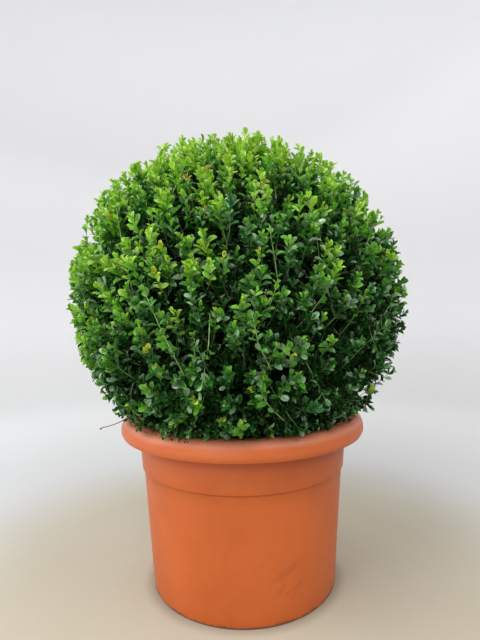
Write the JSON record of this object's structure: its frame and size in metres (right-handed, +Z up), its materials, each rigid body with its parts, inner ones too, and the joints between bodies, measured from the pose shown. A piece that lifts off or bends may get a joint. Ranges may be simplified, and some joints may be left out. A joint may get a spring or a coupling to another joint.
{
  "type": "clipped box shrub ball in a round patio pot",
  "caption": "Evergreen shrub clipped to a dense leafy ball on a short stem, growing in a round terracotta-coloured plastic pot with a rolled rim.",
  "frame": {"origin": "middle of the pot's flat underside, on the surface that it stands on", "axes": "+Z up through the pot and the ball, -Y towards the pictured front, +X to the right in the picture"},
  "size_m": [0.6572, 0.6542, 0.879],
  "materials": {
    "pot_plastic": "satin terracotta-coloured moulded plastic, faintly mottled, with a few dirt smudges",
    "compost": "dark moist crumbly potting compost",
    "bark": "pale grey-brown finely furrowed bark",
    "foliage": "small glossy oval leaves, bright yellow-green young growth at the top, dark green below"
  },
  "bodies": {
    "root": {"pot": "pot_plastic", "potting_soil": "compost", "main_stem": "bark", "foliage_ball": "foliage"}
  },
  "joints": []
}
